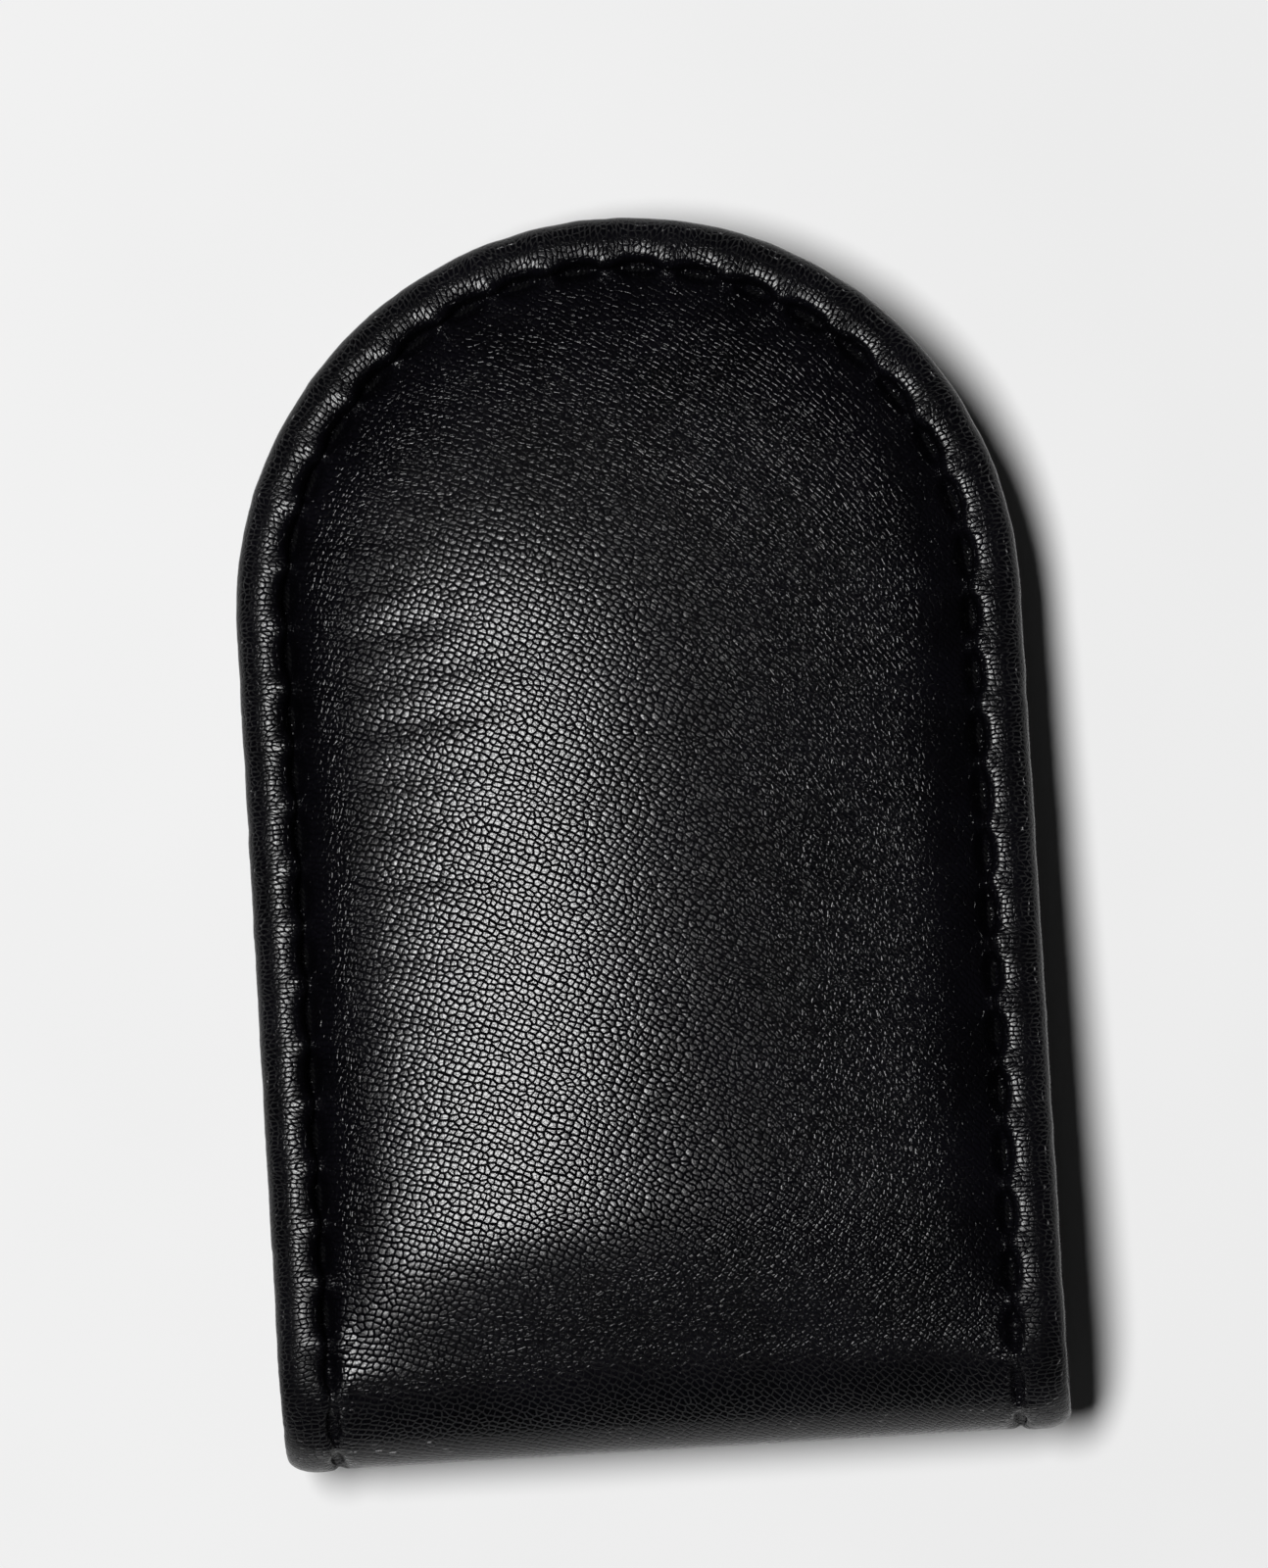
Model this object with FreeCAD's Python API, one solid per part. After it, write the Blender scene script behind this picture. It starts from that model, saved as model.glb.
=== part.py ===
import FreeCAD, Part
# Magnetic leather money clip, in millimetres. +Z is up and the clip lies on its back leaf.
# +X runs across the clip, -Y is the folded spine and +Y the rounded tip. The origin is at the
# middle of the footprint on the surface that the clip lies on.
#
# A leaf is drawn in its own frame: x across, v from the spine to the tip, h outwards from the
# plane of the spine's outer face. The spine is the same section, revolved about the fold axis.
# Its leather is divided into segments, one for each stitch, with a fold line between them.
import math
import os

# ---- driving dimensions ----
WIDTH = 47.6             # across the leather
LENGTH = 75.0            # from the folded spine to the tip
LEATHER = 0.9            # outer leather, the turned hem and the filler between the hems
LINING = 0.8             # inner leather
FOLD_RADIUS = 5.6        # outer face of the spine panel
TIP_GAP = 1.2            # between the linings at the tip, for a thin fold of notes
EDGE_ROUND = 0.95        # radius of the rolled rim
STITCH_INSET = 3.1       # from the rim's outline to the stitch line
STITCH_PITCH = 3.5
GROOVE_DEPTH = 0.4       # of the stitched groove, below the panel
HEM_WIDTH = 6.5          # of the turned-in edge
FRONT_CROWN = 2.4        # height of the padded front panel above the spine's outer face
BACK_CROWN = 2.0         # the same on the back, which is flat where it rests
BACK_FLAT = 11.0         # half width of that flat
FRONT_FLAT = 1.0         # half width of the front panel's level middle
BOARD = 2.0              # stiffener board, as thick as the magnets in it
MAGNET = (20.0, 15.0)    # across and along
MAGNET_CENTRES = {"root": 20.0, "tip": 45.0}
THREAD = 0.44            # thickness of the sewing thread
SPINE_SEGMENTS = 4
CLEAR = 0.1              # between the pieces packed inside a leaf
FOLD_CLEAR = 0.05        # between spine segments, at the fold line

# ---- worked out from them ----
RIM = WIDTH / 2
RIM_RISE = 2 * EDGE_ROUND - 2 * LEATHER
SPINE_OUT = FOLD_RADIUS + RIM_RISE
HEM_IN = -LEATHER
LINING_OUT = -2 * LEATHER
LINING_IN = LINING_OUT - LINING
BOARD_TOP = LINING_OUT + BOARD
STITCH_R = RIM - STITCH_INSET
HEM_R = RIM - HEM_WIDTH
LINING_R = RIM - EDGE_ROUND
LEAF_LENGTH = LENGTH - SPINE_OUT
FOLD_GAP = 2 * (FOLD_RADIUS + LINING_IN)
LEAN = math.degrees(math.atan((FOLD_GAP - TIP_GAP) / LEAF_LENGTH))
TURN = 180.0 + LEAN
HINGE_STEP = TURN / (SPINE_SEGMENTS + 1)
SLIT = math.degrees(FOLD_CLEAR / 2 / SPINE_OUT)
FOLD_Y = -LENGTH / 2 + SPINE_OUT
FOLD_Z = BACK_CROWN + FOLD_RADIUS
FOLD_CENTRE = FreeCAD.Vector(0, FOLD_Y, FOLD_Z)
FRONT_START_V = FOLD_RADIUS * math.sin(math.radians(LEAN))
FRONT_LENGTH = (LEAF_LENGTH - FRONT_START_V) / math.cos(math.radians(LEAN))

# The padded panel's shoulder, as (inset from the rim, height) of its foot, corner and top, for
# the outer face and for the face that lies on the foam.
SHOULDER_OUT = ((3.4, -0.3), (3.9, 1.1), (7.0, 1.5))
SHOULDER_IN = ((4.3, -0.8), (4.9, 0.3), (7.2, 0.6))
SPINE_SHOULDER = 2.6     # how far beyond the spine the panel's padding starts
SPINE_RAMP = 20.0        # how far it takes to reach the crown
CROWN_EXTRA = 0.6        # how far the ramp runs past the crown, so that the two faces cross
BOARD_START = 6.8
X_AXIS = FreeCAD.Vector(1, 0, 0)
Y_AXIS = FreeCAD.Vector(0, 1, 0)
Z_AXIS = FreeCAD.Vector(0, 0, 1)
ORIGIN = FreeCAD.Vector(0, 0, 0)


def section(*steps):
    """A face in the x-h plane. A step is a point for a straight edge, ("arc", middle, end) or
    ("bend", corner, end) for a smooth bend inside the corner. It closes itself."""
    at = lambda p: FreeCAD.Vector(p[0], 0, p[1])
    edges = []
    here = at(steps[0])
    for step in steps[1:] + (steps[0],):
        if step[0] == "arc":
            end = at(step[2])
            edges.append(Part.Arc(here, at(step[1]), end).toShape())
        elif step[0] == "bend":
            end = at(step[2])
            curve = Part.BezierCurve()
            curve.setPoles([here, at(step[1]), end])
            edges.append(curve.toShape())
        else:
            end = at(step)
            edges.append(Part.makeLine(here, end))
        here = end
    return Part.Face(Part.Wire(edges))


def mirrored(shape):
    return shape.mirror(ORIGIN, X_AXIS)


def tongue(face, start, length):
    """The half section run straight from start to the tip's centre, then round the tip."""
    centre = FreeCAD.Vector(0, length - RIM, 0)
    at_start = face.translated(FreeCAD.Vector(0, start, 0))
    straight = at_start.extrude(FreeCAD.Vector(0, centre.y - start, 0))
    round_end = face.translated(centre).revolve(centre, Z_AXIS, 180)
    return straight.fuse([mirrored(straight), round_end]).removeSplitter()


def around_fold(face, start, end):
    """The half section turned about the fold axis, from start to end in degrees from the back."""
    turned = face.rotated(ORIGIN, Y_AXIS, 180).translated(FreeCAD.Vector(0, FOLD_Y, BACK_CROWN))
    turned.rotate(FOLD_CENTRE, X_AXIS, -start)
    half = turned.revolve(FOLD_CENTRE, -X_AXIS, end - start)
    return half.fuse(mirrored(half)).removeSplitter()


def hinge_angle(number):
    """Where fold line 1, 2, ... lies, in degrees round the spine from the back leaf."""
    return (number - 0.5) * HINGE_STEP


def segment_span(number):
    return hinge_angle(number) + SLIT, hinge_angle(number + 1) - SLIT


class Leaf:
    """One of the two leaves: its length, its padding, and where it lies on the clip."""

    def __init__(self, name, length, crown, flat):
        self.name = name
        self.length = length
        self.crown = crown
        self.flat = flat

    def placed(self, shape):
        """The shape, moved from the leaf's own frame to its place on the clip."""
        if self.name == "back":
            return shape.rotated(ORIGIN, Y_AXIS, 180).translated(
                FreeCAD.Vector(0, FOLD_Y, BACK_CROWN))
        start = FreeCAD.Vector(0, FOLD_Y, FOLD_Z + FOLD_RADIUS)
        moved = shape.translated(start)
        moved.rotate(FOLD_CENTRE, X_AXIS, -LEAN)
        return moved

    def spine_end(self, face):
        """This leaf's own share of the spine: half a segment."""
        if self.name == "back":
            return around_fold(face, 0, hinge_angle(1) - SLIT)
        return around_fold(face, hinge_angle(SPINE_SEGMENTS + 1) + SLIT, TURN)

    def with_spine_end(self, shape, face):
        return self.placed(shape).fuse(self.spine_end(face)).removeSplitter()


LEAVES = (
    Leaf("back", LEAF_LENGTH, BACK_CROWN, BACK_FLAT),
    Leaf("front", FRONT_LENGTH, FRONT_CROWN, FRONT_FLAT),
)


def rim_section():
    """The outer leather: a flat panel, the groove, the rolled rim and the turned hem."""
    rim_centre = RIM - EDGE_ROUND
    rim_middle = RIM_RISE - EDGE_ROUND
    return section(
        (0, HEM_IN), (HEM_R, HEM_IN), (HEM_R, LINING_OUT), (rim_centre, LINING_OUT),
        ("arc", (RIM, rim_middle), (rim_centre, RIM_RISE)),
        ("arc", (STITCH_R + 0.8, RIM_RISE / 2), (STITCH_R, -GROOVE_DEPTH)),
        ("bend", (STITCH_R - 0.6, -GROOVE_DEPTH), (STITCH_R - 1.2, 0)),
        (0, 0))


def lining_section():
    """The inner leather, with the small channel that the bobbin thread lies in."""
    channel = THREAD / 2 + 0.06
    return section(
        (0, LINING_OUT), (0, LINING_IN), (STITCH_R - channel, LINING_IN),
        ("arc", (STITCH_R, LINING_IN + channel), (STITCH_R + channel, LINING_IN)),
        (LINING_R, LINING_IN), (LINING_R, LINING_OUT))


def filler_section():
    return section((0, LINING_OUT), (HEM_R - CLEAR, LINING_OUT), (HEM_R - CLEAR, HEM_IN), (0, HEM_IN))


def padding(leaf, shoulder, sunk):
    """The padded panel's solid, from the hem's level up to its outer face, sunk by sunk."""
    foot, corner, top = shoulder
    crown = leaf.crown - sunk
    edge, flat = RIM - top[0], leaf.flat
    face = section(
        (0, HEM_IN), (RIM - foot[0], HEM_IN), (RIM - foot[0], foot[1]),
        ("bend", (RIM - corner[0], corner[1]), (edge, top[1])),
        ("bend", ((edge + flat) / 2, crown), (flat, crown)), (0, crown))
    across = tongue(face, SPINE_SHOULDER - 1, leaf.length)
    # The same shoulder seen from the side, where the panel rises from the spine.
    begin = SPINE_SHOULDER + sunk
    edge = begin + top[0] - foot[0]
    level = edge + SPINE_RAMP
    over = crown + CROWN_EXTRA
    far = leaf.length + RIM
    side = section(
        (begin, HEM_IN - 1), (begin, foot[1]),
        ("bend", (begin + corner[0] - foot[0], corner[1]), (edge, top[1])),
        ("bend", ((edge + level) / 2, over), (level, over)), (far, over), (far, HEM_IN - 1))
    side.rotate(ORIGIN, Z_AXIS, 90)
    side.translate(FreeCAD.Vector(RIM, 0, 0))
    return across.common(side.extrude(FreeCAD.Vector(-WIDTH, 0, 0))).removeSplitter()


def board_blank(leaf):
    half = HEM_R - CLEAR
    face = section((0, LINING_OUT), (half, LINING_OUT), (half, BOARD_TOP), (0, BOARD_TOP))
    return tongue(face, BOARD_START, leaf.length)


def magnet_block(v, margin):
    across, along = MAGNET[0] + 2 * margin, MAGNET[1] + 2 * margin
    block = Part.makeBox(across, along, BOARD, FreeCAD.Vector(-across / 2, v - along / 2, LINING_OUT))
    upright = [e for e in block.Edges if abs(e.tangentAt(e.FirstParameter).z) > 0.5]
    return block.makeFillet(1.0 + margin, upright)


def staple(bar_middle, bar_end, leg_end):
    """One stitch: a bar through bar_middle between +-bar_end, and a leg down at each end.
    Points are (along, height); the stitch lies along v and stands in h."""
    at = lambda p: FreeCAD.Vector(0, p[0], p[1])
    far = lambda p: FreeCAD.Vector(0, -p[0], p[1])
    bend = THREAD
    sign = 1 if bar_end[1] > leg_end[1] else -1
    top = (bar_end[0] - bend, bar_end[1])
    side = (bar_end[0], bar_end[1] - sign * bend)
    corner = (bar_end[0] - bend * (1 - math.sin(math.pi / 4)),
              bar_end[1] - sign * bend * (1 - math.cos(math.pi / 4)))
    edges = [
        Part.makeLine(far(leg_end), far(side)),
        Part.Arc(far(side), far(corner), far(top)).toShape(),
        Part.makeLine(far(top), at(bar_middle)),
        Part.makeLine(at(bar_middle), at(top)),
        Part.Arc(at(top), at(corner), at(side)).toShape(),
        Part.makeLine(at(side), at(leg_end)),
    ]
    path = Part.Wire(edges)
    ring = Part.Wire(Part.makeCircle(THREAD / 2, far(leg_end), Z_AXIS))
    return path.makePipeShell([ring], True, True)


def stitch_heights(side):
    """Where the thread's bar and the end of its legs lie, for the top or the bobbin thread."""
    middle = (HEM_IN + LINING_OUT) / 2
    if side == "top":
        return THREAD / 2 - GROOVE_DEPTH, middle + CLEAR
    return LINING_IN + THREAD / 2, middle - CLEAR


def leaf_stitches(leaf, side):
    """The stitches up one side, round the tip and down the other, in the leaf's own frame."""
    bar, leg = stitch_heights(side)
    reach = STITCH_PITCH / 2 - 0.3
    stitch = staple((0, bar), (reach, bar), (reach, leg))
    straight = leaf.length - RIM
    count = round(straight / STITCH_PITCH)
    pitch = straight / count
    found = []
    for x in (STITCH_R, -STITCH_R):
        for i in range(count):
            found.append(stitch.translated(FreeCAD.Vector(x, (i + 0.5) * pitch, 0)))
    count = round(math.pi * STITCH_R / STITCH_PITCH)
    for i in range(count):
        one = stitch.translated(FreeCAD.Vector(STITCH_R, 0, 0))
        one.rotate(ORIGIN, Z_AXIS, (i + 0.5) * 180 / count)
        found.append(one.translated(FreeCAD.Vector(0, straight, 0)))
    return found


def spine_stitches(number, side):
    """The segment's two stitches, one on each side, standing on the spine."""
    bar, leg = stitch_heights(side)
    start, end = segment_span(number)
    reach = math.radians(end - start) / 2 * (FOLD_RADIUS + min(bar, leg)) - 0.75 * THREAD
    stitch = staple((0, bar), (reach, bar), (reach, leg))
    turn = (start + end) / 2
    found = []
    for x in (STITCH_R, -STITCH_R):
        one = stitch.translated(FreeCAD.Vector(x, FOLD_Y, FOLD_Z + FOLD_RADIUS))
        one.rotate(FOLD_CENTRE, X_AXIS, 180 - turn)
        found.append(one)
    return found


def save(name, shapes):
    """Writes one node as closed solids, and says what it wrote."""
    solids = [s for shape in shapes for s in shape.Solids]
    for solid in solids:
        if not solid.isValid() or solid.Volume <= 0:
            raise ValueError(f"{name} has a bad solid")
    shape = solids[0] if len(solids) == 1 else Part.makeCompound(solids)
    shape.exportStep(os.path.join("parts", name + ".step"))
    print(f"{name}: {len(solids)} solid(s), {sum(s.Volume for s in solids):.1f} mm3")


def build_leaf(leaf):
    name = leaf.name
    outer = tongue(rim_section(), 0, leaf.length).fuse(padding(leaf, SHOULDER_OUT, 0))
    hollow = padding(leaf, SHOULDER_IN, LEATHER)
    save("cover_" + name, [leaf.with_spine_end(outer.cut(hollow), rim_section())])
    lining = tongue(lining_section(), 0, leaf.length)
    save("lining_" + name, [leaf.with_spine_end(lining, lining_section())])
    half_filler = filler_section().extrude(FreeCAD.Vector(0, BOARD_START - CLEAR, 0))
    filler = half_filler.fuse(mirrored(half_filler)).removeSplitter()
    save("filler_" + name, [leaf.with_spine_end(filler, filler_section())])
    board = board_blank(leaf)
    save("foam_" + name, [leaf.placed(hollow.cut(board))])
    for spot, v in MAGNET_CENTRES.items():
        board = board.cut(magnet_block(v, CLEAR))
        save(f"magnet_{name}_{spot}", [leaf.placed(magnet_block(v, 0))])
    save("board_" + name, [leaf.placed(board)])
    for side in ("top", "bobbin"):
        save(f"{side}_thread_{name}", [leaf.placed(s) for s in leaf_stitches(leaf, side)])


def build_spine():
    sections = {"cover": rim_section(), "lining": lining_section(), "filler": filler_section()}
    for number in range(1, SPINE_SEGMENTS + 1):
        for layer, face in sections.items():
            save(f"{layer}_spine_{number}", [around_fold(face, *segment_span(number))])
        for side in ("top", "bobbin"):
            save(f"{side}_thread_spine_{number}", spine_stitches(number, side))


os.makedirs("parts", exist_ok=True)
for each in LEAVES:
    build_leaf(each)
build_spine()
print(f"fold axis at y {FOLD_Y:.4f}, z {FOLD_Z:.4f}; leaf leans {LEAN:.4f} deg; turn {TURN:.4f} deg")
for n in range(1, SPINE_SEGMENTS + 2):
    a = math.radians(hinge_angle(n))
    print(f"fold line {n}: y {FOLD_Y - SPINE_OUT * math.sin(a):.4f}, z {FOLD_Z - SPINE_OUT * math.cos(a):.4f}")
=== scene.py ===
import math

import bpy
import numpy as np
from mathutils import Matrix, Vector


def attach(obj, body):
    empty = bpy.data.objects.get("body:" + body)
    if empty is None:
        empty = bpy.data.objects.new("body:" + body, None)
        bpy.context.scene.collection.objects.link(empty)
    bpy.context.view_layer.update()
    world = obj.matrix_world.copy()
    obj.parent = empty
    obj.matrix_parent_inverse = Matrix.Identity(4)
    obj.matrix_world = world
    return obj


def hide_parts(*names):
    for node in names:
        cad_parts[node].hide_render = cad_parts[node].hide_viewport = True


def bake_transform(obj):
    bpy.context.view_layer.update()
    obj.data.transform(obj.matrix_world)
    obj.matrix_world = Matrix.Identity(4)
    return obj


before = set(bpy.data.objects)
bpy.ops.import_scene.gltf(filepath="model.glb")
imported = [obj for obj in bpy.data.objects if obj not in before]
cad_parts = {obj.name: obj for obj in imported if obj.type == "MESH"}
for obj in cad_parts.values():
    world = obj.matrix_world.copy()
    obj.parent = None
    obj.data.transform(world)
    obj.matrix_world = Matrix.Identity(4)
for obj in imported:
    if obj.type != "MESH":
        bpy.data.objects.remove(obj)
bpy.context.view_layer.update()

MM = 0.001

# ---- the CAD's driving dimensions, in mm and radians ----
WIDTH = 47.6
LENGTH = 75.0
LEATHER = 0.9
LINING = 0.8
FOLD_RADIUS = 5.6
TIP_GAP = 1.2
STITCH_INSET = 3.1
HEM_WIDTH = 6.5
BACK_CROWN = 2.0
FRONT_CROWN = 2.4
SEGMENTS = 4
RIM_RISE = 0.1
RIM = WIDTH / 2
STITCH_R = RIM - STITCH_INSET
HEM_R = RIM - HEM_WIDTH
LINING_R = RIM - 1.1
LINING_OUT = -2 * LEATHER
LINING_IN = LINING_OUT - LINING
SPINE_OUT = FOLD_RADIUS + RIM_RISE
BACK_LENGTH = LENGTH - SPINE_OUT
LEAN = math.atan((2 * (FOLD_RADIUS + LINING_IN) - TIP_GAP) / BACK_LENGTH)
TURN = math.pi + LEAN
STEP = TURN / (SEGMENTS + 1)
FOLD_Y = SPINE_OUT - LENGTH / 2
FOLD_Z = BACK_CROWN + FOLD_RADIUS
FRONT_LENGTH = (BACK_LENGTH - FOLD_RADIUS * math.sin(LEAN)) / math.cos(LEAN)
ARC = FOLD_RADIUS * TURN
SPINE_PITCH = STEP * FOLD_RADIUS

# ---- the sewing and the leather's finish ----
SIDE_STITCHES = 13
TIP_STITCHES = 18
STITCHES = 2 * SIDE_STITCHES + TIP_STITCHES      # to a leaf
STITCH_LENGTH = 3.6      # mm, nearly the same on the leaves and round the spine
STITCH_REACH = 0.46      # a stitch reaches this far each way from its middle, to its holes
ROWS = 14                # half sections to a stitch
BEAD_TOP = 0.85          # how far the rolled rim stands above the leaf's seam
CREST = STITCH_R + 1.25  # how far out the rolled rim is highest
RIM_INNER = 1.3          # how wide the rolled rim is from its crest towards the seam
RIM_PINCH = 0.42         # how much narrower it is beside the middle of a stitch
SEAM_ZONE = 3.6          # how far inside the seam the panel's columns lie close together
SQUARE = 0.45            # the rim's side towards the seam: 1 is round, and less is squarer
APART = 50               # stitches between the noise of one part of the strip and the next
SEED = 7


def add_object(name, data):
    """A new object in the scene, from its mesh, light or camera."""
    added = bpy.data.objects.new(name, data)
    bpy.context.scene.collection.objects.link(added)
    return added


# ---- the strip's layout ----
def folded(u, s, h):
    """Points of the flat strip, in mm, folded into the closed clip, in metres."""
    theta = np.clip(s / FOLD_RADIUS, 0, TURN)
    past = s - theta * FOLD_RADIUS
    out = FOLD_RADIUS + h
    y = FOLD_Y - out * np.sin(theta) - past * np.cos(theta)
    z = FOLD_Z - out * np.cos(theta) + past * np.sin(theta)
    return np.stack(np.broadcast_arrays(u, y, z), -1) * MM


def fold_line(number):
    """Where fold line 1 to 5 lies along the strip."""
    return (number - 0.5) * STEP * FOLD_RADIUS


class Rows:
    """Half sections along one part of the strip: where each starts on the middle line, which way
    it points, its place among the stitches (a whole number is a needle hole), its place in the
    rim's texture, and whether its faces turn the other way."""

    def __init__(self, base, across, along, stitch, texture, flip):
        self.base, self.across, self.along = base, across, along
        self.stitch, self.texture, self.flip = stitch, texture, flip

    def flat(self, r):
        """Flat (u, s) of the points at distance r along each half section."""
        return r * self.across[:, None], self.base[:, None] + r * self.along[:, None]


def leaf_layout(side):
    """Which way a leaf runs along the strip, where its stitches start, and a stitch's length."""
    sign = 1 if side == "front" else -1
    start = fold_line(5 if side == "front" else 1)
    centre = ARC + FRONT_LENGTH - RIM if side == "front" else RIM - BACK_LENGTH
    return sign, start, abs(centre - start) / SIDE_STITCHES


def tip_turn(k):
    """How far round the tip a place among a leaf's stitches is, from 0 to half a turn."""
    return np.clip((k - SIDE_STITCHES) / TIP_STITCHES, 0, 1) * math.pi


def leaf_rows(side):
    """The half sections of a leaf, from the middle of the last spine stitch and back to it."""
    sign, start, pitch = leaf_layout(side)
    k = np.linspace(-0.5, STITCHES + 0.5, round((STITCHES + 1) * ROWS) + 1)
    near = np.minimum(k, STITCHES - k)
    turn = tip_turn(k)
    run = np.where(near < 0, near * SPINE_PITCH, np.minimum(near, SIDE_STITCHES) * pitch)
    return [Rows(start + sign * run, np.cos(turn), sign * np.sin(turn), k, k, sign < 0)]


def spine_rows(number):
    """The half sections of the strip round fold line 2, 3 or 4, for the right and left side.
    Their places lie far from the leaves', so that their noise differs from it."""
    t = np.linspace(0, 1, ROWS + 1)
    s = (number - 1 + t) * STEP * FOLD_RADIUS
    one = np.ones_like(t)
    stitch = t - 0.5 + APART * number
    return [Rows(s, one * x, one * 0, stitch, t + 2 * APART * x, x < 0) for x in (1, -1)]


def lattice_noise(x, y, seed):
    """Smooth noise from -1 to 1 that changes over a distance of 1."""
    table = np.random.default_rng(SEED + seed).uniform(-1, 1, (64, 64))
    xi, yi = np.floor(x).astype(int), np.floor(y).astype(int)
    fx, fy = x - xi, y - yi
    fx, fy = fx * fx * (3 - 2 * fx), fy * fy * (3 - 2 * fy)

    def value(a, b):
        return table[(xi + a) % 64, (yi + b) % 64]

    low = value(0, 0) * (1 - fx) + value(1, 0) * fx
    high = value(0, 1) * (1 - fx) + value(1, 1) * fx
    return low * (1 - fy) + high * fy


def smooth(x, low, high):
    """0 below low, 1 above high, and a smooth change between them."""
    t = np.clip((x - low) / (high - low), 0, 1)
    return t * t * (3 - 2 * t)


def past_spine(s):
    """How far a point is along its leaf, beyond the spine's arc."""
    return np.maximum(-s, s - ARC)


def near_hole(rows, width):
    """1 at each needle hole, falling to 0 in the middle of a stitch. No two are quite alike."""
    nearest = np.round(rows.stitch)
    pull = 1 + 0.25 * lattice_noise(nearest * 1.7, nearest * 0.3, 1)
    shift = 0.05 * lattice_noise(nearest * 2.3, nearest * 0.7, 2)
    return (pull * np.exp(-((rows.stitch - nearest - shift) / width) ** 2))[:, None]


# ---- the outer leather ----
def panel_height(u, s, r):
    """The padded panel inside the stitch line: a pillow, without the seam's own creases. It is
    highest on the middle line, falls to the seam at its edge, and starts flat at the spine."""
    inside = np.maximum(STITCH_R - r, 0)
    v = past_spine(s)
    crown = np.where(s < 0, BACK_CROWN, FRONT_CROWN + 0.2)
    across_fall = 0.52 * (r / STITCH_R) ** 2
    along_fall = 0.9 * ((v - 30) / 32) ** 2
    dome = crown * (1 - across_fall) - along_fall
    dome = np.where(s < 0, np.minimum(dome, crown - 0.12), dome)
    edge = 1 - np.exp(-(inside / 1.3) ** 1.2)
    swell = 0.02 * lattice_noise(u / 10 + s / 30, s / 12, 3) * smooth(v, 0, 6)
    past_start = (v + 1 + np.hypot(v + 1, 1.5)) / 2      # v + 1, bending smoothly to 0 below it
    ramp = 1 - np.maximum(1 - past_start / 10.5, 0) ** 2
    return (dome * ramp + swell) * edge


class PuffedPad:
    """A leaf's panel, puffed by Blender's Cloth between its stitches, as heights on a grid.
    The simulation is ten times life size, where Cloth's own limits don't matter."""

    GRID = 0.75              # mm
    SCALE = 0.01             # metres of simulation to a mm
    MARGIN = 3               # how far past the start of the spine the sheet is held
    FRAMES = 20

    def __init__(self, side):
        length = FRONT_LENGTH if side == "front" else BACK_LENGTH
        self.centre = length - RIM
        across = np.arange(-round(STITCH_R / self.GRID) - 1, round(STITCH_R / self.GRID) + 2)
        along = np.arange(-self.MARGIN, length, self.GRID)
        self.u, self.v = np.meshgrid(across * self.GRID, along, indexing="ij")
        past_tip = np.maximum(self.v - self.centre, 0)
        self.r = np.hypot(self.u, past_tip)
        s = self.v + ARC if side == "front" else -self.v
        self.start = panel_height(self.u, s, self.r)
        self.rise = self.simulated() - self.start

    def sheet(self):
        """The flat cloth, sewn down round its edge, and which grid points it has."""
        used = self.r < STITCH_R
        number = np.full(self.u.shape, -1)
        number[used] = np.arange(used.sum())
        corners = np.stack([number[:-1, :-1], number[1:, :-1], number[1:, 1:], number[:-1, 1:]], -1)
        quads = corners.reshape(-1, 4)
        points = np.stack([self.u, self.v, 0.8 * self.start], -1)[used] * self.SCALE
        mesh = bpy.data.meshes.new("pad")
        mesh.from_pydata(points.tolist(), [], quads[(quads >= 0).all(1)].tolist())
        pad = add_object("pad", mesh)
        edge = (self.r > STITCH_R - self.GRID) | (self.v <= self.v.min())
        pad.vertex_groups.new(name="sewn").add(np.flatnonzero(edge[used]).tolist(), 1, "REPLACE")
        return pad, used

    def simulated(self):
        """The cloth's heights once it is puffed, with its highest point at the drawn height."""
        pad, used = self.sheet()
        modifier = pad.modifiers.new("cloth", "CLOTH")
        modifier.point_cache.frame_end = self.FRAMES
        cloth = modifier.settings
        cloth.mass = 0.3
        cloth.compression_stiffness = 5
        cloth.bending_stiffness = 2
        cloth.vertex_group_mass = "sewn"
        cloth.shrink_min = -0.01
        cloth.use_pressure = True
        cloth.uniform_pressure_force = 4
        cloth.effector_weights.gravity = 0
        for number in range(1, self.FRAMES + 1):
            bpy.context.scene.frame_set(number)
        result = pad.evaluated_get(bpy.context.evaluated_depsgraph_get())
        heights = np.array([vertex.co.z for vertex in result.data.vertices]) / self.SCALE
        bpy.data.objects.remove(pad)
        bpy.context.scene.frame_set(1)
        full = np.zeros(self.u.shape)
        full[used] = heights * self.start.max() / heights.max()
        return full

    def at(self, u, v):
        """How far the cloth rose from the drawn panel at flat (u, v)."""
        x = np.clip((u - self.u[0, 0]) / self.GRID, 0, self.u.shape[0] - 1.001)
        y = np.clip((v - self.v[0, 0]) / self.GRID, 0, self.u.shape[1] - 1.001)
        i, j = x.astype(int), y.astype(int)
        x, y = x - i, y - j
        low = self.rise[i, j] * (1 - x) + self.rise[i + 1, j] * x
        high = self.rise[i, j + 1] * (1 - x) + self.rise[i + 1, j + 1] * x
        return low * (1 - y) + high * y


PADS = {side: PuffedPad(side) for side in ("back", "front")}
PUFF = 0.3               # how much of the cloth's rise the leather takes


def puffed_height(u, s, r):
    """The panel with its cloth's rise. The back leaf stays flat where it rests."""
    height = panel_height(u, s, r)
    if PADS:
        side = "back" if s.mean() < ARC / 2 else "front"
        v = past_spine(s)
        height = height + PUFF * PADS[side].at(u, v) * smooth(v, 0, 18)
    return np.where(s < 0, np.minimum(height, BACK_CROWN), height)


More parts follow.
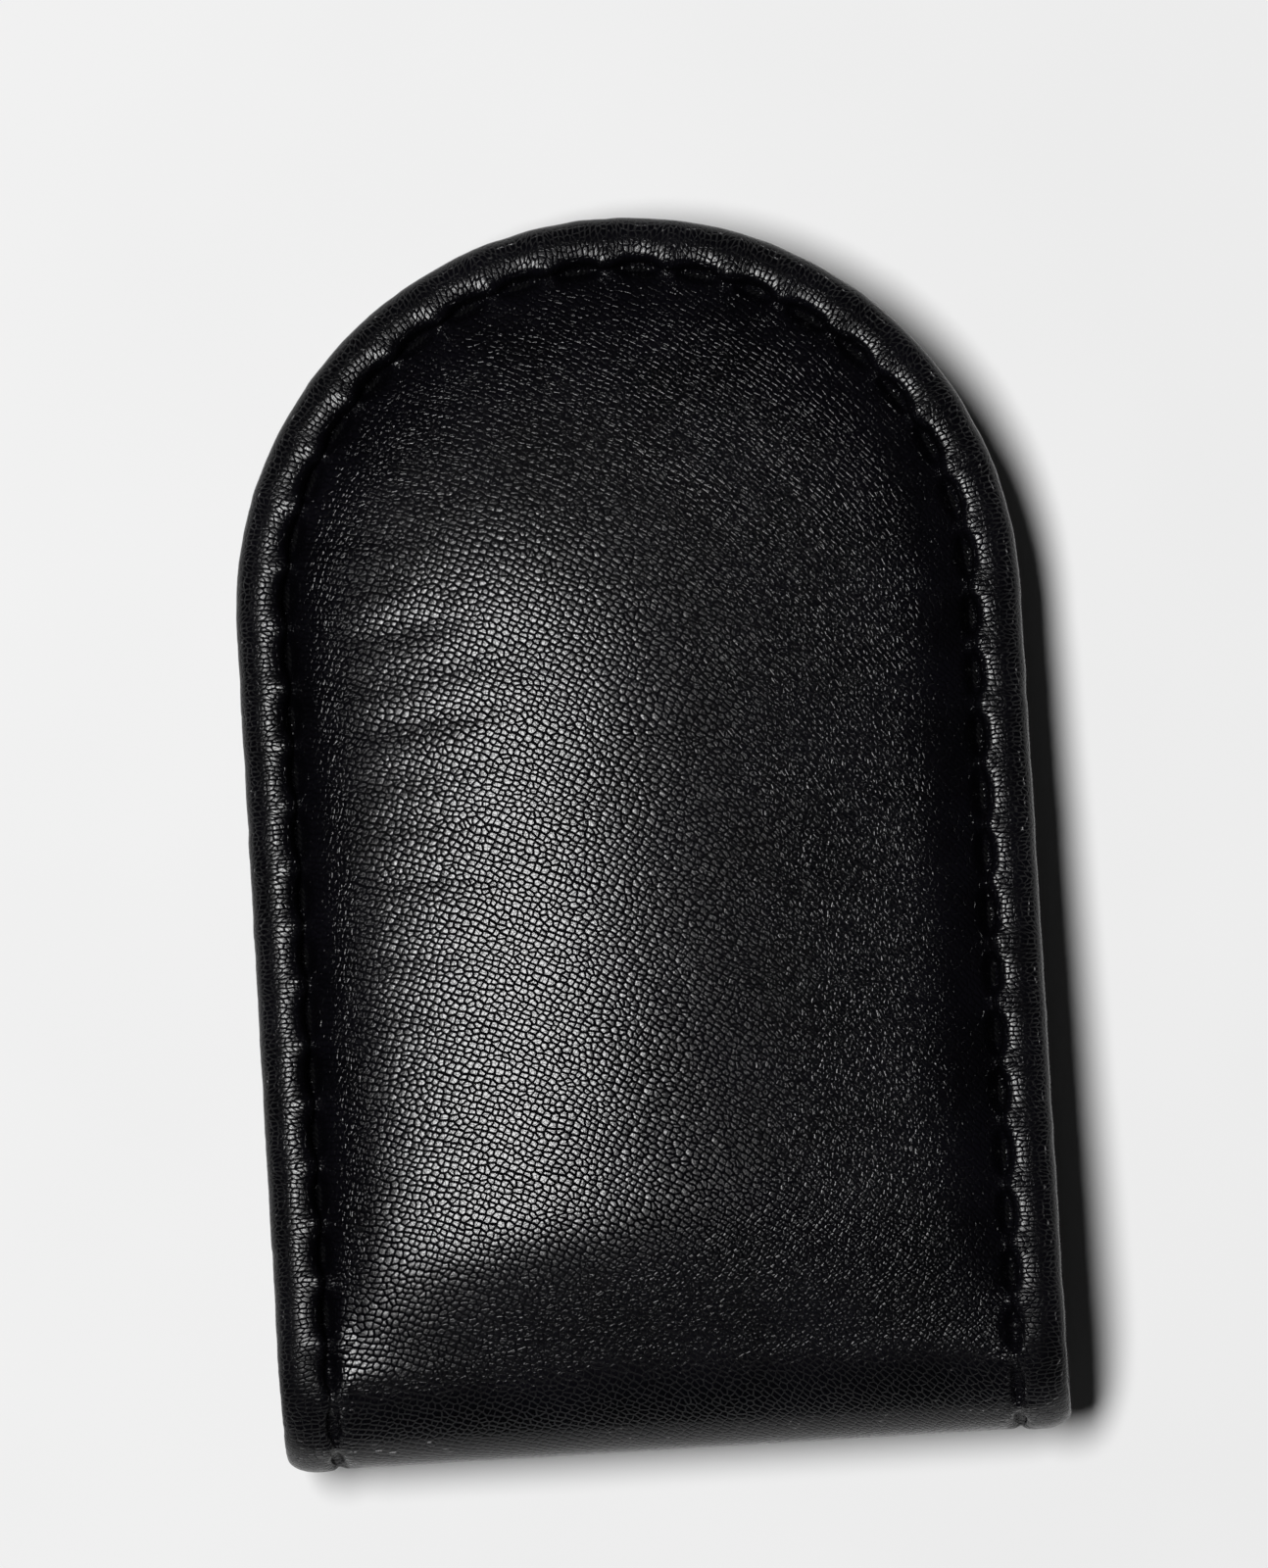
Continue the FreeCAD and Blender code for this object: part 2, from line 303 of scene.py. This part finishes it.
def seam_bottom(rows, v):
    """Height of the leather on the stitch line: a pit under each stitch, and between two stitches
    a bridge of gathered leather."""
    bridge = np.minimum(near_hole(rows, 0.2), 1)
    on_leaf = smooth(v, -2, 3)
    bridge_rise = 0.3 * on_leaf
    pit_depth = 0.45 + 0.55 * on_leaf
    return bridge_rise * bridge - pit_depth * (1 - bridge) - 0.05


def gathers(rows, r):
    """Small wrinkles that run across the seam, strongest at the bridges."""
    place = rows.stitch[:, None] * STITCH_LENGTH
    fine = lattice_noise(place / 0.27, r / 1.1, 6) + 0.6 * lattice_noise(place / 0.6, r / 2.0, 7)
    reach = np.exp(-((r - STITCH_R) / 1.3) ** 2)
    return 0.06 * fine * reach * (0.3 + near_hole(rows, 0.24))


def panel_part(rows, bottom, pit):
    """(r, h) of the panel, from the middle line to the seam."""
    r = STITCH_R - np.concatenate([np.linspace(STITCH_R, SEAM_ZONE, 30),
                                   np.linspace(SEAM_ZONE - 0.2, 0, 22)])
    r = np.broadcast_to(r, (len(rows.base), len(r)))
    u, s = rows.flat(r)
    inside = STITCH_R - r
    h = puffed_height(u, s, r) + bottom * np.exp(-(inside / (0.2 + 0.24 * pit)) ** 2)
    return r, h - 0.08 * pit * np.exp(-inside / 0.7) + gathers(rows, r)


def rim_part(rows, bottom, pit):
    """(r, h) of the rolled rim, from the seam over the top and round the edge to the underside.
    It goes round an oval: angle is 0 towards the seam, and a quarter turn at the top."""
    leaf = smooth(past_spine(rows.base)[:, None], -3, 3)
    half_h = (RIM_RISE + (BEAD_TOP - RIM_RISE) * leaf - LINING_OUT) / 2
    centre_h = LINING_OUT + half_h
    low = np.clip((bottom - centre_h) / half_h, -0.95, 0.95)
    first = np.arcsin(np.sign(low) * np.abs(low) ** (1 / SQUARE))
    angle = first + (math.radians(270) - first) * np.linspace(0, 1, 40)[None, :]
    inner_side = angle < math.pi / 2
    power = np.where(inner_side, SQUARE, 1.0)
    half_w = np.where(inner_side, RIM_INNER - RIM_PINCH * pit, RIM - CREST)
    out, up = np.cos(angle), np.sin(angle)
    out, up = np.sign(out) * np.abs(out) ** power, np.sign(up) * np.abs(up) ** power
    # pressed in beside the middle of a stitch, and a little uneven
    place = rows.stitch[:, None] * STITCH_LENGTH
    puff = 1 - 0.06 * pit * np.exp(-((angle - 0.9) / 0.9) ** 2)
    puff = (puff + 0.018 * lattice_noise(place / 1.3, angle * 0.6, 4)
            + 0.010 * lattice_noise(place / 0.4, angle * 0.5, 5))
    puff = 1 + (puff - 1) * np.minimum((angle - first) * 2, 1)
    bead_r = CREST - half_w * out * puff
    bead_h = centre_h + half_h * up * np.where(angle > math.pi, 1, puff)
    return bead_r, bead_h + gathers(rows, bead_r) * (angle < 1.2)


def leather_columns(rows):
    """Outer leather: (r, h, unrolled r) of every point of every half section."""
    count = len(rows.base)
    pit = 1 - np.minimum(near_hole(rows, 0.22), 1)
    bottom = seam_bottom(rows, past_spine(rows.base)[:, None])
    r, h = panel_part(rows, bottom, pit)
    rim_r, rim_h = rim_part(rows, bottom, pit)
    # underside to the hem's edge, and back along the inner face to the middle line
    under = np.broadcast_to(np.linspace(CREST - 0.3, HEM_R, 6), (count, 6))
    inner = np.broadcast_to(np.linspace(HEM_R, 0, 14), (count, 14))
    inner_h = np.maximum(panel_height(*rows.flat(inner), inner) - LEATHER, -LEATHER)
    rr = np.concatenate([r, rim_r, under, inner], 1)
    hh = np.concatenate([h, rim_h, under * 0 + LINING_OUT, inner_h], 1)
    steps = np.hypot(np.diff(rr, axis=1), np.diff(hh, axis=1))
    seam = r.shape[1] - 1
    unrolled = rr.copy()
    unrolled[:, seam + 1:] = STITCH_R + np.cumsum(steps[:, seam:], 1)
    return rr, hh, unrolled


# ---- the lining ----
def lining_columns(rows):
    """The lining, dented by the seam and softly folded inside the spine."""
    tight, wide = near_hole(rows, 0.1), near_hole(rows, 0.2)
    v = past_spine(rows.base)[:, None]
    inner = np.concatenate([np.linspace(0, STITCH_R - 2, 24),
                            np.linspace(STITCH_R - 1.8, LINING_R - 0.15, 24)])
    r = np.broadcast_to(inner, (len(rows.base), len(inner)))
    u, s = rows.flat(r)
    # the seam's groove, deepest at the needle holes
    away = np.abs(r - STITCH_R)
    dent = 0.28 * np.exp(-(away / 0.4) ** 2) + 0.16 * tight * np.exp(-away / 0.3)
    dent = dent + 0.06 * wide * np.exp(-away / 1.0)
    in_fold = 1 - smooth(v, -1, 4)
    folds = 0.10 * in_fold * lattice_noise(u / 9, s / 0.9, 8)
    bow = 0.05 * lattice_noise(u / 8, s / 8, 9)
    h = LINING_IN + dent + np.abs(folds) + np.abs(bow) * smooth(v, 0, 5)
    edge_r = np.broadcast_to(LINING_R + np.array([0.0, -0.02]), (len(v), 2))
    edge_h = np.broadcast_to([LINING_IN + 0.18, LINING_OUT], (len(v), 2))
    back_r = np.broadcast_to(np.linspace(LINING_R - 0.2, 0, 8), (len(v), 8))
    rr = np.concatenate([r, edge_r, back_r], 1)
    hh = np.concatenate([h, edge_h, back_r * 0 + LINING_OUT], 1)
    return rr, hh, rr


# ---- meshes ----
STORED_MM = 100          # mm to 1 in the places that are stored for the textures


def store_places(mesh, name, places):
    """Two numbers for every corner of the mesh's faces, for the shaders."""
    attribute = mesh.attributes.new(name, "FLOAT2", "CORNER")
    attribute.data.foreach_set("vector", np.asarray(places, np.float32).ravel())


def strip_piece(name, parts, columns, inside_out=False):
    """One mesh from several runs of half sections, joined along the middle line. It stores
    two places for the textures: "flat" is (u, s), and "rim" is along and across the rim."""
    points, flats, rims, quads = [], [], [], []
    start = 0
    for rows in parts:
        r, h, unrolled = columns(rows)
        count, width = r.shape
        u, s = rows.flat(r)
        points.append(folded(u, s, h).reshape(-1, 3))
        fu, fs = rows.flat(unrolled)
        flats.append(np.stack([fu, fs], -1).reshape(-1, 2) / STORED_MM)
        place = np.broadcast_to(rows.texture[:, None] * STITCH_LENGTH, r.shape)
        rims.append(np.stack([place, unrolled], -1).reshape(-1, 2) / STORED_MM)
        i, j = np.meshgrid(np.arange(count - 1), np.arange(width - 1), indexing="ij")
        a = (start + i * width + j).ravel()
        quad = np.stack([a, a + 1, a + width + 1, a + width], 1)
        quads.append(quad[:, ::-1] if rows.flip != inside_out else quad)
        start += count * width
    points, quads = np.concatenate(points), np.concatenate(quads)
    flats, rims = np.concatenate(flats), np.concatenate(rims)
    keys = np.round(points / MM, 4) + 0.0
    _, first, same = np.unique(keys, axis=0, return_index=True, return_inverse=True)
    same = same.ravel()
    merged = same[quads]
    faces, corners = [], []
    for face, raw in zip(merged.tolist(), quads.tolist()):
        keep = [n for n in range(4) if face[n] != face[n - 1]]
        if len(keep) > 2:
            faces.append([face[n] for n in keep])
            corners.extend(raw[n] for n in keep)
    mesh = bpy.data.meshes.new(name)
    mesh.from_pydata(points[first].tolist(), [], faces)
    store_places(mesh, "flat", flats[corners])
    store_places(mesh, "rim", rims[corners])
    mesh.shade_smooth()
    return add_object(name, mesh)


def share_normals(pieces):
    """Neighbouring pieces of one strip get the same normals where they meet."""
    sums = {}
    for piece in pieces:
        for vertex in piece.data.vertices:
            key = tuple(round(c * 1e7) for c in vertex.co)
            sums[key] = sums.get(key, Vector()) + vertex.normal
    for piece in pieces:
        keys = [tuple(round(c * 1e7) for c in vertex.co) for vertex in piece.data.vertices]
        piece.data.normals_split_custom_set_from_vertices([sums[k].normalized() for k in keys])


# The rigid bodies in order, and the CAD nodes that the piece bending over each fold stands for.
NODE_ENDS = {1: ["back"], 2: ["spine_1"], 3: ["spine_2"], 4: ["spine_3", "spine_4"], 5: ["front"]}


def bend_over_fold(piece):
    """A piece for fold line 1 to 5, with its placement baked into its mesh."""
    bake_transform(piece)


def build_strip(word, node, columns, material, inside_out=False):
    """The whole strip as five pieces, one to a fold line, which meet in the bodies' middles."""
    pieces = []
    for number, ends in NODE_ENDS.items():
        if number in (1, 5):
            parts = leaf_rows("back" if number == 1 else "front")
        else:
            parts = spine_rows(number)
        piece = strip_piece(f"{word}_fold_{number}", parts, columns, inside_out)
        piece.data.materials.append(material)
        pieces.append(piece)
        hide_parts(*[f"{node}_{end}" for end in ends])
    share_normals(pieces)
    for number, piece in enumerate(pieces, 1):
        bend_over_fold(piece)
    return pieces


# ---- sewing thread ----
STRANDS = 3
STRAND_R = 0.125         # mm
TWIST_R = 0.11           # from the thread's middle to each strand's
TWISTS = 3.2             # to a stitch
RING = 6                 # points round a strand


def stitch_line(side):
    """A function from a place among a leaf's stitches to flat (u, s) on the stitch line."""
    sign, start, pitch = leaf_layout(side)

    def at(k):
        near = np.minimum(k, STITCHES - k)
        turn = tip_turn(k)
        base = start + sign * np.minimum(near, SIDE_STITCHES) * pitch
        return STITCH_R * np.cos(turn), base + sign * STITCH_R * np.sin(turn)
    return at


def twisted_thread(centres, ups):
    """Strands twisted round a line of centres, as points and faces."""
    count = len(centres)
    tangents = np.gradient(centres, axis=0)
    tangents /= np.linalg.norm(tangents, axis=1)[:, None]
    sides = np.cross(tangents, ups)
    sides /= np.linalg.norm(sides, axis=1)[:, None]
    ups = np.cross(sides, tangents)
    points, faces = [], []
    ring = np.linspace(0, 2 * math.pi, RING + 1)[:-1]
    for number in range(STRANDS):
        twist = (np.linspace(0, TWISTS, count) + number / STRANDS) * 2 * math.pi
        middle = centres + TWIST_R * (np.cos(twist)[:, None] * sides
                                      + np.sin(twist)[:, None] * ups)
        start = number * count * RING
        around = (np.cos(ring)[None, :, None] * sides[:, None]
                  + np.sin(ring)[None, :, None] * ups[:, None])
        points.append((middle[:, None] + STRAND_R * around).reshape(-1, 3))
        for i in range(count - 1):
            for j in range(RING):
                a, b = start + i * RING + j, start + i * RING + (j + 1) % RING
                faces.append((a, b, b + RING, a + RING))
    return np.concatenate(points), faces


def thread_piece(name, stitches, body, node, material):
    """One body's stitches as one mesh. A stitch is (u, s, h) along its line, in mm."""
    points, faces = [], []
    start = 0
    for u, s, h in stitches:
        centres = folded(u, s, h) / MM
        ups = folded(u, s, h + 0.1) / MM - centres
        more, quads = twisted_thread(centres, ups)
        points.append(more * MM)
        faces += [tuple(start + n for n in quad) for quad in quads]
        start += len(more)
    mesh = bpy.data.meshes.new(name)
    mesh.from_pydata(np.concatenate(points).tolist(), [], faces)
    mesh.shade_smooth()
    mesh.materials.append(material)
    piece = add_object(name, mesh)
    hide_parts(node)
    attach(piece, body)


def stitch_dip(t, bar, depth):
    """Height along a stitch, t from -1 to 1: level in the middle, diving into its two holes."""
    return bar + 0.04 * (1 - t * t) - depth * np.abs(t) ** 9


def build_threads(side_word, bar, depth, material):
    """The stitches on one face. bar is their height, and depth how far they dive at the holes."""
    t = np.linspace(-1, 1, 27)
    h = stitch_dip(t, bar, depth)
    for side in ("back", "front"):
        at = stitch_line(side)
        stitches = [(*at(k + 0.5 + STITCH_REACH * t), h) for k in range(STITCHES)]
        name = f"{side_word}_thread_{side}"
        thread_piece(name + "_twisted", stitches, side + "_leaf", name, material)
    for number in range(1, SEGMENTS + 1):
        s = (number + STITCH_REACH * t) * STEP * FOLD_RADIUS
        stitches = [(x * STITCH_R + 0 * t, s, h) for x in (1, -1)]
        name = f"{side_word}_thread_spine_{number}"
        thread_piece(name + "_twisted", stitches, f"spine_{number}", name, material)


# ---- materials ----
class Shader:
    """A material's node tree, with short ways to add nodes."""

    def __init__(self, name):
        self.material = bpy.data.materials.new(name)
        self.material.use_nodes = True
        self.tree = self.material.node_tree
        self.surface = self.tree.nodes["Principled BSDF"]

    def add(self, kind, inputs=None, **settings):
        """A new node. Its inputs are values or other nodes' outputs."""
        node = self.tree.nodes.new(kind)
        for key, value in settings.items():
            setattr(node, key, value)
        for key, value in (inputs or {}).items():
            if isinstance(value, bpy.types.NodeSocket):
                self.tree.links.new(value, node.inputs[key])
            else:
                node.inputs[key].default_value = value
        return node

    def coordinates(self, attribute):
        """A stored place, scaled so that the textures work in millimetres."""
        source = self.add("ShaderNodeAttribute", attribute_name=attribute)
        return self.product(source.outputs["Vector"], (STORED_MM, STORED_MM, 0))

    def product(self, vector, factors):
        """A vector with each of its parts multiplied by its own factor."""
        return self.add("ShaderNodeVectorMath", {0: vector, 1: factors},
                        operation="MULTIPLY").outputs[0]

    def parts(self, vector):
        """The first two numbers of a vector."""
        return self.add("ShaderNodeSeparateXYZ", {0: vector}).outputs[:2]

    def math(self, operation, a, b=0.0, c=0.0):
        """One operation on a and b. MULTIPLY_ADD gives a * b + c."""
        return self.add("ShaderNodeMath", {0: a, 1: b, 2: c}, operation=operation).outputs[0]

    def noise(self, vector, scale, detail, distortion=0.0):
        """Cloudy noise, about 0.5 in the middle of its range."""
        return self.add("ShaderNodeTexNoise", {"Vector": vector, "Scale": scale, "Detail": detail,
                                               "Distortion": distortion}).outputs["Fac"]

    def cells(self, vector, scale, feature, randomness=1.0):
        """Distance from the nearest cell's middle (F1) or edge (DISTANCE_TO_EDGE)."""
        node = self.add("ShaderNodeTexVoronoi", {"Vector": vector, "Scale": scale,
                                                 "Randomness": randomness}, feature=feature,
                        voronoi_dimensions="2D")
        return node.outputs["Distance"]

    def between(self, value, low, high, to_low=0.0, to_high=1.0):
        """Smoothly from to_low to to_high as the value goes from low to high."""
        return self.add("ShaderNodeMapRange", {
            "Value": value, "From Min": low, "From Max": high, "To Min": to_low,
            "To Max": to_high}, interpolation_type="SMOOTHSTEP").outputs[0]

    def mix(self, factor, a, b):
        """A colour between the colours a and b."""
        node = self.add("ShaderNodeMix", {"Factor": factor}, data_type="RGBA")
        for socket, colour in ((6, a), (7, b)):
            node.inputs[socket].default_value = (*colour, 1)
        return node.outputs[2]

    def warped(self, vector, scale, amount):
        """The vector, pushed about by noise, so that a pattern on it looks grown."""
        push = self.add("ShaderNodeTexNoise", {"Vector": vector, "Scale": scale, "Detail": 0.0})
        centred = self.add("ShaderNodeVectorMath", {0: push.outputs["Color"], 1: (0.5, 0.5, 0.5)},
                           operation="SUBTRACT")
        scaled = self.add("ShaderNodeVectorMath", {0: centred.outputs[0], "Scale": amount},
                          operation="SCALE")
        return self.add("ShaderNodeVectorMath", {0: vector, 1: scaled.outputs[0]}).outputs[0]

    def bump(self, height, depth_mm):
        """Relief in the surface, depth_mm from height 0 to height 1."""
        node = self.add("ShaderNodeBump", {"Height": height, "Distance": depth_mm * MM,
                                           "Strength": 1.0})
        self.tree.links.new(node.outputs["Normal"], self.surface.inputs["Normal"])

    def set(self, **values):
        """Values or other nodes' outputs for the surface's own sockets."""
        for name, value in values.items():
            socket = self.surface.inputs[name.replace("_", " ")]
            if isinstance(value, bpy.types.NodeSocket):
                self.tree.links.new(value, socket)
            else:
                socket.default_value = value


# The outer leather's grain: lengths in cells, and heights in parts of its depth.
GRAIN_DEPTH = 0.055      # mm
CELL_SCATTER = 0.6       # 0 sets the cells in a square grid
ROW_SHIFT = 0.15         # widens the creases along the rows
WALL_SLOPE = 13.0        # of a crease's sides
SHOULDER_SLOPE = 7.5     # of the softer change from them to the tops
SHOULDER_PART = 0.2      # how much of the height the shoulder takes
DOME = 0.3               # how quickly the tops fall from their middles
RIM_PART = 0.7           # how deep the rim's grain is beside the panel's
ROW_ANGLE = math.radians(33)
ROW_BEND = 0.011         # how the panel's rows curve, per mm


def pebbles(shader, place, size, warp):
    """Grown cells in wavy rows along x: 0 in the sharp creases and nearly 1 on the gently domed
    tops. Size is a cell's length and height in mm."""
    scaled = shader.product(place, (1 / size[0], 1 / size[1], 0))
    grown = shader.warped(shader.warped(scaled, 0.13, 1.4), 0.8, warp)
    shifted = shader.add("ShaderNodeVectorMath", {0: grown, 1: (0, ROW_SHIFT, 0)}).outputs[0]
    edges = [shader.cells(where, 1, "DISTANCE_TO_EDGE", CELL_SCATTER) for where in (grown, shifted)]
    edge = shader.math("MINIMUM", *edges)
    wall = shader.math("MINIMUM", shader.math("MULTIPLY", edge, WALL_SLOPE), 1.0)
    shoulder = shader.math("MINIMUM", shader.math("MULTIPLY", edge, SHOULDER_SLOPE), 1.0)
    from_middle = shader.cells(grown, 1, "F1", CELL_SCATTER)
    dome = shader.math("MULTIPLY", from_middle, from_middle)
    height = shader.math("MULTIPLY_ADD", shoulder, SHOULDER_PART,
                         shader.math("MULTIPLY", wall, 1 - SHOULDER_PART))
    return shader.math("MULTIPLY_ADD", dome, -DOME, height)


def leather_grain(shader, flat, rim, on_rim):
    """The pebbles: in slanting, curving rows on the panel, and drawn out across the rim."""
    u, s = shader.parts(flat)
    along, across = shader.parts(rim)
    bent = shader.math("MULTIPLY_ADD", shader.math("MULTIPLY", u, u), ROW_BEND, s)
    bent = shader.add("ShaderNodeCombineXYZ", {0: u, 1: bent}).outputs[0]
    slanted = shader.add("ShaderNodeVectorRotate", {"Vector": bent, "Angle": ROW_ANGLE},
                         rotation_type="Z_AXIS").outputs[0]
    on_side = shader.add("ShaderNodeCombineXYZ", {0: across, 1: along}).outputs[0]
    panel = pebbles(shader, slanted, size=(0.48, 0.35), warp=0.27)
    side = shader.math("MULTIPLY", pebbles(shader, on_side, size=(0.5, 0.3), warp=0.3), RIM_PART)
    return shader.add("ShaderNodeMix", {0: on_rim, 2: panel, 3: side}).outputs[0]


def with_fine_relief(shader, flat, rim, across, grain):
    """The grain with fine cracks and pores, and with the wrinkles beside the seam."""
    edges = shader.cells(shader.warped(flat, 1.2, 0.1), 4.2, "DISTANCE_TO_EDGE")
    cracks = shader.between(edges, 0.0, 0.07)
    pores = shader.noise(flat, 7.0, 2.0)
    stretched = shader.product(rim, (1, 0.3, 0))
    gathers = shader.noise(shader.warped(stretched, 1.2, 0.5), 3.2, 1.0)
    from_seam = shader.math("ABSOLUTE", shader.math("SUBTRACT", across, STITCH_R))
    gathers = shader.math("MULTIPLY", gathers, shader.between(from_seam, 0.3, 2.0, 2.5, 0.0))
    height = shader.math("MULTIPLY_ADD", cracks, 0.05, grain)
    height = shader.math("MULTIPLY_ADD", pores, 0.09, height)
    return shader.math("ADD", gathers, height)


def pebbled_leather():
    """Soft black nappa: pebbles about 0.5 mm across in wavy rows, with creases across the rim.
    It is a little glossier on the pebbles' tops, and less glossy round the spine and the rim."""
    shader = Shader("pebbled_black_leather")
    flat, rim = shader.coordinates("flat"), shader.coordinates("rim")
    across = shader.parts(rim)[1]
    on_rim = shader.between(across, STITCH_R - 0.9, STITCH_R + 0.2)
    grain = leather_grain(shader, flat, rim, on_rim)
    shader.bump(with_fine_relief(shader, flat, rim, across, grain), GRAIN_DEPTH)
    shade = shader.noise(flat, 0.16, 3.0)
    colour = shader.mix(shader.between(shade, 0.3, 0.7), (0.0012, 0.0011, 0.0017),
                        (0.0024, 0.0022, 0.0034))
    on_tops = shader.between(grain, 0.1, 0.9, 0.16, 0.12)
    s = shader.parts(flat)[1]
    from_fold = shader.math("ABSOLUTE", shader.math("SUBTRACT", s, ARC / 2))
    softer = shader.between(from_fold, ARC / 2 + 2, ARC / 2 + 14, 0.06, 0.0)
    roughness = shader.math("MULTIPLY_ADD", on_rim, 0.07, shader.math("ADD", on_tops, softer))
    shader.set(Base_Color=colour, Roughness=roughness, Specular_IOR_Level=0.2)
    return shader.material


def lining_leather():
    """Smooth, hard-wearing leather with a fine flat grain."""
    shader = Shader("smooth_black_lining")
    flat = shader.coordinates("flat")
    edges = shader.cells(shader.warped(flat, 2.0, 0.4), 3.1, "DISTANCE_TO_EDGE")
    grain = shader.between(edges, 0.0, 0.25)
    pores = shader.noise(flat, 9.0, 3.0)
    height = shader.math("MULTIPLY_ADD", grain, 0.5, shader.math("MULTIPLY", pores, 0.5))
    shader.bump(height, 0.03)
    wear = shader.noise(flat, 0.12, 4.0)
    colour = shader.mix(shader.between(wear, 0.35, 0.7), (0.012, 0.0115, 0.0125),
                        (0.021, 0.02, 0.021))
    shader.set(Base_Color=colour, Roughness=shader.between(wear, 0.3, 0.7, 0.62, 0.5),
               Specular_IOR_Level=0.4)
    return shader.material


def object_coordinates(shader, per_metre):
    """Places on the object itself, for the pieces without stored ones."""
    source = shader.add("ShaderNodeTexCoord")
    return shader.product(source.outputs["Object"], (per_metre, per_metre, per_metre))


def waxed_thread():
    """Black thread, nearly without shine, as it lies deep in the seam."""
    shader = Shader("waxed_black_thread")
    place = object_coordinates(shader, 1000)
    fibres = shader.noise(place, 14.0, 2.0, 0.6)
    shader.bump(fibres, 0.02)
    colour = shader.mix(shader.between(fibres, 0.3, 0.7), (0.0008, 0.0008, 0.001),
                        (0.002, 0.002, 0.0024))
    shader.set(Base_Color=colour, Roughness=0.7, Specular_IOR_Level=0.06)
    return shader.material


def speckled(name, dark, light, scale, roughness, metallic=0.0, depth=0.05):
    """The hidden pieces' materials: fibre, felt, board and plated metal."""
    shader = Shader(name)
    place = object_coordinates(shader, 1000)
    specks = shader.noise(place, scale, 5.0)
    shader.bump(specks, depth)
    colour = shader.mix(shader.between(specks, 0.35, 0.65), dark, light)
    shader.set(Base_Color=colour, Roughness=roughness, Metallic=metallic)
    return shader.material


def dress_hidden_nodes():
    """Materials for the CAD nodes inside the leaves, chosen by the first word of their names."""
    finishes = {
        "filler": speckled("split_leather_fibre", (0.06, 0.045, 0.04), (0.13, 0.10, 0.085),
                           scale=2.5, roughness=0.9),
        "foam": speckled("grey_felt", (0.40, 0.39, 0.36), (0.62, 0.61, 0.57),
                         scale=4.0, roughness=0.95, depth=0.15),
        "board": speckled("grey_board", (0.34, 0.31, 0.27), (0.50, 0.46, 0.40),
                          scale=3.0, roughness=0.85),
        "magnet": speckled("plated_magnet", (0.52, 0.52, 0.54), (0.66, 0.66, 0.68),
                           scale=1.2, roughness=0.28, metallic=1.0, depth=0.01),
    }
    for name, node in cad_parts.items():
        word = name.split("_")[0]
        if word in finishes:
            node.data.materials.clear()
            node.data.materials.append(finishes[word])


# ---- the room, in metres ----
FLOOR = 3                # half its width
LIGHT_PLACE = (-0.186, 0.046, 0.95)
LIGHT_SIZE = (0.42, 0.2)
LIGHT_POWER = 10         # watts
WORLD_STRENGTH = 0.015


def build_floor():
    mesh = bpy.data.meshes.new("floor")
    corners = [(FLOOR * x, FLOOR * y, 0) for x, y in ((-1, -1), (1, -1), (1, 1), (-1, 1))]
    mesh.from_pydata(corners, [], [(0, 1, 2, 3)])
    floor = add_object("floor", mesh)
    shader = Shader("pale_floor")
    place = object_coordinates(shader, 40)
    colour = shader.mix(shader.noise(place, 1.0, 2.0), (0.80, 0.80, 0.80), (0.84, 0.84, 0.84))
    shader.set(Base_Color=colour, Roughness=0.8)
    mesh.materials.append(shader.material)


def build_lights():
    """One wide soft light up and to the left, whose mirror image is the leather's highlight."""
    scene = bpy.context.scene
    scene.world = bpy.data.worlds.new("studio")
    scene.world.use_nodes = True
    background = scene.world.node_tree.nodes["Background"]
    background.inputs["Color"].default_value = (1, 1, 1, 1)
    background.inputs["Strength"].default_value = WORLD_STRENGTH
    scene.view_settings.view_transform = "Standard"
    light = bpy.data.lights.new("overhead", "AREA")
    light.shape = "ELLIPSE"
    light.size, light.size_y = LIGHT_SIZE
    light.energy = LIGHT_POWER
    lamp = add_object("overhead", light)
    lamp.location = LIGHT_PLACE
    lamp.rotation_euler = (-Vector(LIGHT_PLACE)).to_track_quat("-Z", "Y").to_euler()


# ---- the camera, in metres ----
DISTANCE = 0.93
SENSOR = 36              # mm, the camera's longer side
PICTURE_HEIGHT = 0.0952  # how much of the clip's plane the picture shows from bottom to top
AIM_HEIGHT = 0.008       # the height of that plane above the floor
ROLL = math.radians(3.5)
LEAN_RIGHT, LEAN_DOWN = math.radians(2.0), math.radians(1.0)
OFFSET = (0.53 * MM, -3.03 * MM)    # of the clip's middle from the picture's, right and up


def build_camera():
    camera = bpy.data.cameras.new("camera")
    camera.sensor_width = SENSOR
    camera.lens = SENSOR * DISTANCE / PICTURE_HEIGHT
    camera.clip_start, camera.clip_end = 0.05, 20
    back = Vector((math.sin(LEAN_RIGHT), -math.sin(LEAN_DOWN), 1)).normalized()
    up = Vector((math.sin(ROLL), math.cos(ROLL), 0))
    up = (up - back * up.dot(back)).normalized()
    right = up.cross(back)
    middle = Vector((0, 0, AIM_HEIGHT)) - right * OFFSET[0] - up * OFFSET[1]
    holder = add_object("camera", camera)
    turn = Matrix((right, up, back)).transposed().to_4x4()
    holder.matrix_world = Matrix.Translation(middle + back * DISTANCE) @ turn
    bpy.context.scene.camera = holder


# ---- everything together ----
covers = build_strip("leather", "cover", leather_columns, pebbled_leather())
build_strip("lining", "lining", lining_columns, lining_leather(),
            inside_out=True)
thread = waxed_thread()
build_threads("top", bar=-1.22, depth=0.3, material=thread)
build_threads("bobbin", bar=LINING_IN + 0.2, depth=-0.5, material=thread)
dress_hidden_nodes()
build_floor()
build_lights()
build_camera()
